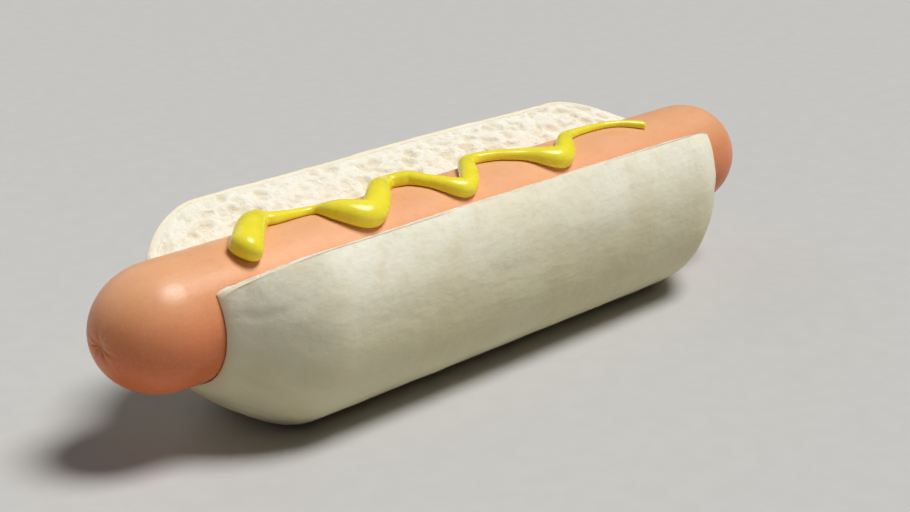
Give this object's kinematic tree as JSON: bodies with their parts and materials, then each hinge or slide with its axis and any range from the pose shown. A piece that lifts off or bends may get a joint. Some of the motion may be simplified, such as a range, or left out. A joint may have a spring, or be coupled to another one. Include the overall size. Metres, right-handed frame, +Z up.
{
  "type": "hot dog",
  "caption": "Frankfurter in a soft top-split bun, standing out at both ends, with a zigzag of mustard along its top.",
  "frame": {"origin": "middle of the bun's base, on the surface that the bun rests on", "axes": "+X along the sausage, towards the end where the mustard thins out; +Z up, out of the split in the bun"},
  "size_m": [0.177, 0.0494, 0.04],
  "materials": {
    "bun": "soft pale bread: a thin dull crust outside, open crumb on the cut faces",
    "sausage": "smooth satin sausage skin",
    "mustard": "smooth glossy mustard"
  },
  "bodies": {
    "root": {"bun": "bun", "sausage_with_mustard": "sausage"}
  },
  "joints": []
}
